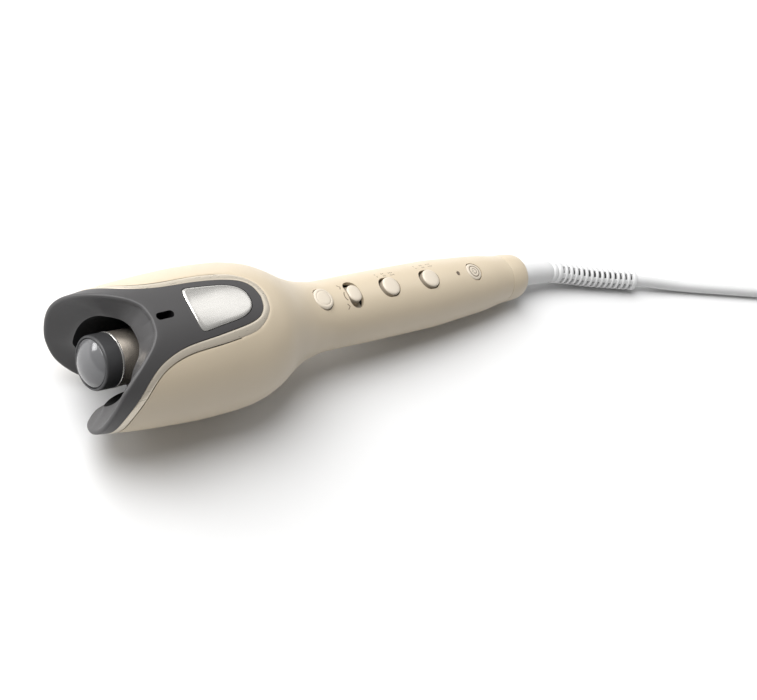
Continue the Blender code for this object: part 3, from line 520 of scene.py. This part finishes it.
# boot: a plain cone with two ribs, then ribs joined by five webs, with slots between them
RIBS, PITCH, FIRST_GAP, GAP_WIDE = 14, 3.87, 36.7, 2.1
WEBS, WEB_SINK = 5, 0.5                     # webs in each gap, and how far they reach into the ribs
CONE_BORE, RIB_BORE = 3.4, 3.7
RIB_R, RIB_TAPER, TAPER_FROM, TAPER_OVER = 6.2, 0.4, 30, 60
AROUND = 64


def round_line(s, polar):
    """Points round the cord's line at s from (radius, angle) pairs; angle 90 is the upper side."""
    middle, _, side, up = trail(s)
    return [tuple(middle + side * (r * cos(a)) + up * (r * sin(a))) for r, a in polar]


def tube_piece(name, profile, mat):
    """A tube along the cord's line from a closed profile of (distance, radius) points."""
    return loft(name, [round_line(s, [(r, 2 * pi * k / AROUND) for k in range(AROUND)]) for s, r in profile],
                mat, closed=True, smooth=45)


def rib_size(s):
    return RIB_R - RIB_TAPER * (s - TAPER_FROM) / TAPER_OVER


first = FIRST_GAP - GAP_WIDE / 2
cone = [(-6.2, CONE_BORE), (-6.2, 9.6), (-3.1, 9.6), (-3.1, 6.95), (1.0, 6.95), (6, 6.8), (12, 6.6),
        (18, 6.4), (23, 6.2), (27.2, 6.15), (27.6, 6.0), (28.0, 5.55), (28.6, 5.55), (29.0, 6.05),
        (29.5, 6.2), (31.0, 6.2), (31.5, 6.05), (31.9, 5.55), (32.5, 5.55), (32.9, 6.05), (33.4, 6.2),
        (first - 0.6, 6.2), (first - 0.2, 6.1), (first, 5.8), (first, CONE_BORE)]
pieces = [tube_piece("boot_cone", cone, WHITE)]
for rib in range(RIBS):
    start = FIRST_GAP + rib * PITCH + GAP_WIDE / 2
    end = BOOT_LENGTH if rib == RIBS - 1 else start + PITCH - GAP_WIDE
    r = rib_size(start)
    pieces.append(tube_piece(f"boot_rib_{rib}", [(start, RIB_BORE), (start, r - 0.4), (start + 0.2, r - 0.1),
                                                 (start + 0.6, r), (end - 0.6, r), (end - 0.2, r - 0.1),
                                                 (end, r - 0.4), (end, RIB_BORE)], WHITE))
    for web in range(WEBS):
        middle_angle = radians((web + 0.5) * 360 / WEBS)
        outline = [(reach, middle_angle + radians(swing)) for reach, swing in
                   ((RIB_BORE, -18), (r - 0.5, -14), (r - 0.4, -7), (r - 0.4, 0), (r - 0.4, 7),
                    (r - 0.5, 14), (RIB_BORE, 18))]
        pieces.append(loft(f"boot_web_{rib}_{web}",
                           [round_line(s, outline) for s in (start - GAP_WIDE - WEB_SINK, start + WEB_SINK)],
                           WHITE))


def joined(name, objects):
    """One piece from several; the first one's materials are kept."""
    work = bmesh.new()
    for piece in objects:
        work.from_mesh(piece.data)
    data = bpy.data.meshes.new(name)
    work.to_mesh(data)
    work.free()
    for mat in objects[0].data.materials:
        data.materials.append(mat)
    for piece in objects:
        bpy.data.objects.remove(piece)
    made = bpy.data.objects.new(name, data)
    scene.collection.objects.link(made)
    return made


boot = joined("slotted_boot", pieces)
stands_for(boot, "white_rubber", "strain_boot")
# a dark tube under the ribs, seen through the slots: painted shade in the slots, over the white cord that
# runs inside
SLEEVE_FROM, SLEEVE_TO, SLEEVE_IN, SLEEVE_OUT = 34, BOOT_LENGTH - 1, 3.25, 3.9
painted_shade_sleeve = tube_piece("boot_painted_shade_sleeve", [(SLEEVE_FROM, SLEEVE_IN), (SLEEVE_FROM, SLEEVE_OUT),
                                    (SLEEVE_TO, SLEEVE_OUT), (SLEEVE_TO, SLEEVE_IN)], PAINTED_SHADE_SLEEVE)
stands_for(painted_shade_sleeve, "white_rubber")


# ---------------------------------------------------------------- mouth piece
OUTER_ROWS, LIP_ROWS, INNER_ROWS = 16, 5, 6
LIP_R, LIP_TURN = 1.16, 24                  # radius of the rounded rim, degrees from row to row
FUNNEL = (0.08, 0.16, 0.26, 0.36, 0.47, 0.58, 0.69, 0.8, 0.9, 0.96)     # shares from the rim to the hole
FUNNEL_BEND = 1.45
TUBE_R = MOUTH_R - 0.4


def mouth_loop(i):
    """A section of the mouth: outside, rounded rim, funnel, tube round the drum, inside."""
    rear, rim, hole = edge(BEZEL, i, -GAP / 2), edge(RIM, i), edge(HOLE, i)
    loop = []
    for k in range(OUTER_ROWS + 1):
        t = k / OUTER_ROWS
        loop.append(skin(rear[0] + (rim[0] - rear[0]) * t, rear[1] + (rim[1] - rear[1]) * t ** 1.5))
    for k in range(1, LIP_ROWS + 1):
        round_off = radians(LIP_TURN * k)
        loop.append(skin(*edge(RIM, i, -0.95 * sin(round_off)), LIP_R * (1 - cos(round_off))))
    out, near = skin(*edge(RIM, i, -0.6), 2.1), bore(*hole, MOUTH_R)
    loop.append(out)
    for t in FUNNEL:
        loop.append((near[0] + (out[0] - near[0]) * (1 - t) ** FUNNEL_BEND,
                     out[1] + (near[1] - out[1]) * t, out[2] + (near[2] - out[2]) * t))
    loop.append(near)
    tube = hole[1] if abs(i) <= SPLIT else even_angle(i)
    back_of_hole, inner = edge(HOLE, i, 2.8), edge(RIM, i, 3.2)
    loop += [bore(hole[0] - 0.9, hole[1], TUBE_R), bore(TUBE_END, tube, TUBE_R),
             bore(TUBE_END, tube, TUBE_R + TUBE_WALL), bore(*back_of_hole, MOUTH_R + 2.6)]
    inside = (min(inner[0], (rim[0] + rear[0]) / 2), inner[1])
    for k in range(INNER_ROWS + 1):
        t = k / INNER_ROWS
        loop.append(skin(inside[0] + (rear[0] - inside[0]) * t,
                         inside[1] + (rear[1] - inside[1]) * t ** 0.7, 2.4))
    return loop


HOLE_ROW = OUTER_ROWS + LIP_ROWS + len(FUNNEL) + 2     # place of the hole's edge in a mouth loop
TUBE_ROWS = 4                               # the tube behind it is matt black
mouth_loops = [mouth_loop(i) for i in HEAD]
mouth = loft("mouth_funnel", mouth_loops, DARK, closed=True, smooth=38)
mouth.data.materials.append(BLACK)
for n, face in enumerate(mouth.data.polygons):
    row = n % len(mouth_loops[0])
    if HOLE_ROW <= row < HOLE_ROW + TUBE_ROWS:
        face.material_index = 1

# outline of the plate as (x, half width): its front edge, and its side round to the rear
PLATE_EDGE = ((-38.4, 11.6), (-37.0, 10.6), (-36.3, 8.2), (-35.7, 4.4), (-35.4, 0.0))
PLATE_SIDE = ((-41.5, 11.4), (-48, 10.6), (-55, 9.9), (-60.8, 9.0), (-64.3, 7.8), (-67.2, 6.1),
              (-69, 3.8), (-69.8, 0.0))
PLATE_MIDDLE, PLATE_HALF, PLATE_HALF_WIDE = -52.6, 17.2, 11.4
VENT_X, VENT = -22.3, (9.0, 3.6, 1.78)      # place, and length, width and corner radius


def softened(points, times=3):
    """Closed outline with its corners cut, which ends as a smooth curve inside the same points."""
    for _ in range(times):
        points = [(p[0] * w + q[0] * (1 - w), p[1] * w + q[1] * (1 - w))
                  for p, q in zip(points, points[1:] + points[:1]) for w in (0.75, 0.25)]
    return points


def plate_outline(shrink):
    half = list(reversed(PLATE_EDGE)) + list(PLATE_SIDE)
    whole = softened(half + [(x, -y) for x, y in reversed(half[1:-1])])
    return [(x - shrink * (x - PLATE_MIDDLE) / PLATE_HALF, y * (1 - shrink / PLATE_HALF_WIDE))
            for x, y in whole]


def on_skin(outline, lift):
    return [(x, y, top(x, y) + lift) for x, y in outline]


pocket = loft("plate_pocket", [on_skin(plate_outline(0), lift) for lift in (-1.5, 4)], BLACK)
vent = standing("vent", [(x + VENT_X, y) for x, y in rounded(*VENT)], 24, 40)
carve(mouth, [pocket, vent], 38)
stands_for(mouth, "dark_grey_plastic", "mouth_bezel")

# the plate's levels as (inset from its outline, height over the body's surface)
PLATE_LEVELS = ((0.3, -1.1), (0.3, -0.2), (0.45, 0.02), (0.95, 0.26), (1.2, 0.3), (2.5, 0.3), (4.5, 0.3),
                (6.5, 0.3), (8.5, 0.3), (10.5, 0.3), (11.2, 0.3))
badge = loft("badge", [on_skin(plate_outline(shrink), lift) for shrink, lift in PLATE_LEVELS], SILVER,
             smooth=16)
stands_for(badge, "satin_silver", "name_plate")


SEAM_EXTRA, SEAM_SINK = 0.1, 0.12           # seams are drawn a little wider and softer than in the CAD
TRIM_ROWS, TRIM_CROWN, TRIM_DEEP = 8, 0.5, 1.7


def trim_loop(i):
    """A section of the trim: a slightly crowned face and a flat back."""
    front, rear = edge(BEZEL, i, GAP / 2 + SEAM_EXTRA), edge(TRIM, i, -GAP / 2 - SEAM_EXTRA)
    loop = [skin(*rear, SEAM_SINK)]
    for k in range(1, TRIM_ROWS):
        t = k / TRIM_ROWS
        loop.append(skin(rear[0] + (front[0] - rear[0]) * t, rear[1] + (front[1] - rear[1]) * t,
                         -TRIM_CROWN * t * (1 - t)))
    return loop + [skin(*front, SEAM_SINK), skin(*front, TRIM_DEEP), skin(*rear, TRIM_DEEP)]


trim = loft("trim_band", [trim_loop(i) for i in HEAD], CHAMPAGNE, closed=True)
stands_for(trim, "champagne_trim", "bezel_trim")

# ---------------------------------------------------------------- cream shells
BLEND_ROWS, FIRST, SHELL_STEP = 12, -92.0, 3.0
SHELL_END = SEAM_X + GAP / 2


def shell(name, indices, seam_push):
    """Outer and inner rows from the trim's edge to the end cap's seam, as in the CAD."""
    stations = [FIRST - SHELL_STEP * k for k in range(int((FIRST - SHELL_END) / SHELL_STEP))] + [SHELL_END]
    rows = []
    for r in range(BLEND_ROWS + len(stations)):
        outer, inner = [], []
        for i in indices:
            x0, a0 = edge(TRIM, i, GAP / 2 + SEAM_EXTRA)
            t = min(r / BLEND_ROWS, 1.0)
            x = x0 + (FIRST - x0) * t if r < BLEND_ROWS else stations[r - BLEND_ROWS]
            a = a0 + (even_angle(i) - a0) * t * t * (3 - 2 * t)
            if abs(i) == SPLIT:
                a += degrees(seam_push / half_width(x)) * (1 if i > 0 else -1)
            outer.append(skin(x, a, SEAM_SINK if r == 0 else 0.0))
            inner.append(skin(x, a, WALL))
        rows.append(outer + inner[::-1])
    return loft(name, rows, CREAM, smooth=40)


upper = shell("upper_cream", [k / FINE for k in range(-SPLIT * FINE, SPLIT * FINE + 1)], GAP / 2)
under_side = ([k / FINE for k in range(SPLIT * FINE, LAST * FINE + 1)]
              + [-k / FINE for k in range(LAST * FINE - 1, SPLIT * FINE - 1, -1)])
back = shell("back_cream", under_side, -GAP / 2)

# name, place, opening (length, width, corner), knob (length, width, corner), how far ahead of the
# knob's place the opening's middle lies, and skirt (length, width)
SLIDERS = (("direction", DIRECTION_X, 8.9, 15.2, 4.4, 8.2, 9.6, 4.05, 0.0, 10.4, 13.4),
           ("time", TIME_X, 13.4, 11.5, 5.7, 10.6, 10.6, 5.2, 0.94, 16.4, 12.6),
           ("temperature", TEMP_X, 13.4, 11.5, 5.7, 10.6, 10.6, 5.2, 0.94, 16.4, 12.6))
holes = [standing("hole", [(x + u, v) for u, v in ring_points(r)], 12, 30)
         for x, r in ((CURL_X, 6.2), (POWER_X, 5.4), (LED_X, 1.3))]
holes += [standing("hole", [(x + ahead + u, v) for u, v in rounded(long, wide, corner)], 12, 30)
          for _, x, long, wide, corner, _, _, _, ahead, _, _ in SLIDERS]
carve(upper, holes, 40)
stands_for(upper, "cream_plastic", "upper_shell")


def ground():
    """Cutter, in metres of the shared frame, that leaves an underside flat on the floor."""
    return loft("ground", [[to_world.inverted() @ Vector(p) / MM for p in
                            ((-0.2, -0.1, z), (0.3, -0.1, z), (0.3, 0.1, z), (-0.2, 0.1, z))]
                           for z in (-0.03, 0.0)], BLACK)


SCREW_X = (-135.0, -180.0, -225.0)
under_cut = [ground()]
for x in SCREW_X:
    low = -half_height(x)
    under_cut.append(turned("seat", ((low - 2, 0), (low - 2, 3.0), (low + 1.1, 3.0), (low + 1.1, 1.5),
                                     (low + 4, 1.5), (low + 4, 0)), BLACK, (x, 0, 0), upright=True, steps=40))
carve(back, under_cut, 40)
stands_for(back, "cream_plastic", "back_shell")

tail = collar("end_cup", ((-266.25, 10.7), (-266.25, 12.85), (-266.4, 13.0), (-269, 12.98), (-272, 12.85),
                          (-275, 12.6), (-277, 12.3), (-278.4, 11.9), (-279.4, 11.35), (-280.1, 10.6),
                          (-280.4, 9.8), (-280.4, 7.5), (-280.2, 7.3), (-276.4, 7.3), (-276.4, 10.5)), CREAM)
carve(tail, [ground()], 40)
stands_for(tail, "cream_plastic", "end_cap")


# ---------------------------------------------------------------- controls
def domed_knob(name, x, long, wide, corner, skirt_long, skirt_wide):
    """A slider's knob, from levels as (height, inset of the outline), on the skirt under the shell."""
    outline = rounded(long - 0.3, wide - 0.3, corner - 0.15)
    levels = ((SKIRT_Z + 0.9, 0), (17.3, 0), (17.75, 0.06), (18.1, 0.26), (18.33, 0.6), (18.46, 1.1),
              (18.56, 1.9), (18.62, 3.0), (18.64, 4.0))
    big = max(hypot(*p) for p in outline)
    loops = [[(x + u * (1 - cut / big), v * (1 - cut / big), z) for u, v in outline] for z, cut in levels]
    knob = loft(name, loops, CREAM_KNOB, smooth=60)
    # the lowest two rows, the knob's side walls, get the darker cream of painted shade
    knob.data.materials.append(KNOB_SIDE_PAINTED_SHADE)
    for n, face in enumerate(knob.data.polygons):
        face.material_index = 1 if n < 2 * len(outline) else 0
    skirt = standing(f"{name}_skirt", [(x + u, v) for u, v in rounded(skirt_long, skirt_wide, 1.0, 3)],
                     SKIRT_Z, SKIRT_Z + 1.0)
    skirt.data.materials[0] = CREAM_KNOB
    both = joined(name, [knob, skirt])
    both.data.set_sharp_from_angle(angle=radians(60))
    return both


for name, x, _, _, _, long, wide, corner, _, skirt_long, skirt_wide in SLIDERS:
    knob = domed_knob(f"{name}_knob", x, long, wide, corner, skirt_long, skirt_wide)
    stands_for(knob, "cream_plastic", f"{name}_slider", body=f"{name}_slider_body")

FOOT = 11.6                                 # underside of the two push buttons
curl = turned("curl_cap", ((FOOT, 0), (FOOT, 2.0), (13.0, 2.0), (13.0, 5.75), (18.0, 5.75), (18.45, 5.65),
                           (18.8, 5.4), (19.05, 5.0), (19.15, 4.5), (19.15, 4.2), (19.05, 4.1),
                           (19.05, 3.95), (19.15, 3.85), (19.25, 3.0), (19.3, 1.5), (19.3, 0)),
              CREAM_KNOB, (CURL_X, 0, 0), upright=True, smooth=50)
stands_for(curl, "cream_plastic", "curl_button", body="curl_button_body")

# the power button follows the body's surface, with a groove round its middle
POWER_RINGS = ((0.4, 0.03), (1.5, 0.03), (2.9, 0.03), (3.0, -0.25), (3.4, -0.25), (3.5, 0.03), (4.3, 0.03),
               (4.7, -0.03), (4.95, -0.25))
POWER_FOOT = (4.95, 2.0, 0.4)


def power_ring(r, lift=None):
    """A ring at a height over the body's surface, or at the button's foot."""
    return [(POWER_X + u, v, FOOT if lift is None else top(POWER_X + u, v) + lift)
            for u, v in ring_points(r, 72)]


power = loft("power_cap", [power_ring(*ring) for ring in POWER_RINGS] + [power_ring(r) for r in POWER_FOOT],
             CREAM_KNOB, smooth=50)
stands_for(power, "cream_plastic", "power_button", body="power_button_body")


PRINT_DEEP = 0.25


def printed(name, strokes, wide=0.5, body="handle", lift=0.05):
    """Flat printed lines on the body: each stroke is a list of (x, y) points."""
    points, faces = [], []
    for stroke in strokes:
        base = len(points)
        for n, (x, y) in enumerate(stroke):
            previous, following = stroke[max(n - 1, 0)], stroke[min(n + 1, len(stroke) - 1)]
            dx, dy = following[0] - previous[0], following[1] - previous[1]
            size = hypot(dx, dy)
            nx, ny = -dy / size * wide / 2, dx / size * wide / 2
            for sx, sy, up in ((nx, ny, lift), (-nx, -ny, lift), (-nx, -ny, -PRINT_DEEP),
                               (nx, ny, -PRINT_DEEP)):
                points.append((x + sx, y + sy, top(x + sx, y + sy) + up))
        faces += [tuple(base + k for k in quad) for quad in faces_of(len(stroke), 4, False)]
    stands_for(put(name, points, faces, PRINT), "light_guide", body=body)


def arc(x, y, r, start, end, count=14):
    return [(x + r * cos(radians(start + (end - start) * k / count)),
             y + r * sin(radians(start + (end - start) * k / count))) for k in range(count + 1)]


def bars(x, y, count, tall=2.5, pitch=1.1):
    """A generic scale mark: one, two or three short bars."""
    first = x + pitch * (count - 1) / 2
    return [[(first - pitch * k, y - tall / 2), (first - pitch * k, y + tall / 2)] for k in range(count)]


printed("time_marks", bars(-167.5, -8.0, 1) + bars(-172.4, -7.8, 2) + bars(-177.7, -7.5, 3))
printed("temperature_marks", bars(-196.2, -8.8, 1) + bars(-201.2, -8.7, 2) + bars(-206.4, -8.7, 3))
printed("direction_marks", [[(-139.0, -6.6), (-140.4, -5.2), (-139.4, -3.8)],
                            arc(-142.6, 0.6, 3.1, -48, 48),
                            [(-139.2, 4.7), (-140.4, 6.0), (-139.0, 7.3)]])
printed("curl_mark", [arc(CURL_X, 0, 2.3, 30, 330)], 0.36, "curl_button_body", lift=-0.4)
printed("power_mark", [arc(POWER_X, 0, 1.5, 40, 320),
                       [(POWER_X + 0.4, 0), (POWER_X + 1.9, 0)],
                       arc(POWER_X, 0, 3.2, 0, 359, 40)], 0.4, "power_button_body", lift=0.08)

# ---------------------------------------------------------------- barrel's cap
FRONT = 0.8                                 # how far the cap's front stands ahead of the CAD's
EDGE_ROUND, EDGE_MIDDLE = 1.1, 11.45        # radius of its rounded edge, and where that is centred
shoulder = [(FRONT - EDGE_ROUND + EDGE_ROUND * sin(radians(a)), EDGE_MIDDLE + EDGE_ROUND * cos(radians(a)))
            for a in range(0, 91, 10)]
cap = turned("cap_cup", [(-13.0, 0.0), (-13.0, 10.7), (-7.65, 10.7), (-7.65, 12.35), (-7.4, 12.6)] + shoulder
             + [(FRONT - 0.15, 11.3), (FRONT - 0.5, 11.2), (FRONT - 1.35, 11.2), (FRONT - 1.35, 0.0)],
             CAP_BLACK)
stands_for(cap, "dark_grey_plastic", "barrel_cap")
ring = collar("bright_ring", ((-7.75, 11.0), (-7.75, 12.6), (-7.85, 12.72), (-8.65, 12.72), (-8.75, 12.6),
                              (-8.75, 11.0)), SILVER)
stands_for(ring, "satin_silver", "barrel_ring")
barrel = collar("curl_barrel", ((-8.9, 11.2), (-8.9, 12.3), (-9.05, 12.4), (-58.0, 12.4), (-58.0, 11.2)),
                BRONZE)
stands_for(barrel, "bronze_ceramic", "heater_barrel")
DOME_R, DOME_TOP = 15.7, 4.2 + FRONT        # radius of the dome's sphere, and its top
dome_arc = [(DOME_TOP - DOME_R + sqrt(DOME_R ** 2 - r * r), r)
            for r in (10.75, 10.3, 9.7, 9.0, 8.1, 7.0, 5.8, 4.5, 3.1, 1.6, 0.0)]
dome = turned("cap_lens", [(FRONT - 1.25, 0.0), (FRONT - 1.25, 10.9), (FRONT - 0.2, 10.9)] + dome_arc,
              DOME_GREY, smooth=60)
stands_for(dome, "grey_gloss_plastic", "cap_dome")

# ---------------------------------------------------------------- CAD nodes that stay, with a finish each
KEPT = ((BLACK, ("chamber_liner", "winding_drum", "motor_leads")),
        (NYLON, ("ring_gear", "drive_pinion", "gear_plate", "handle_tray", "cord_clamp")),
        (STEEL, ("motor_shaft", "gear_motor", "shell_screw_1", "shell_screw_2", "shell_screw_3", "plug_pin_1",
                 "plug_pin_2")),
        (ALLOY, ("heater_clamp_1", "heater_clamp_2")), (CERAMIC, ("heater_plate",)),
        (BOARD, ("power_board", "control_board")), (SHRINK, ("capacitor",)), (COPPER, ("filter_coil",)),
        (COMPONENT, ("power_relay", "curl_switch", "power_switch", "direction_switch", "time_switch",
                     "temperature_switch")), (LAMP, ("indicator_light",)), (WIRE, ("heater_leads",)))
for mat, names in KEPT:
    for name in names:
        nodes[name].data.materials.clear()
        nodes[name].data.materials.append(mat)
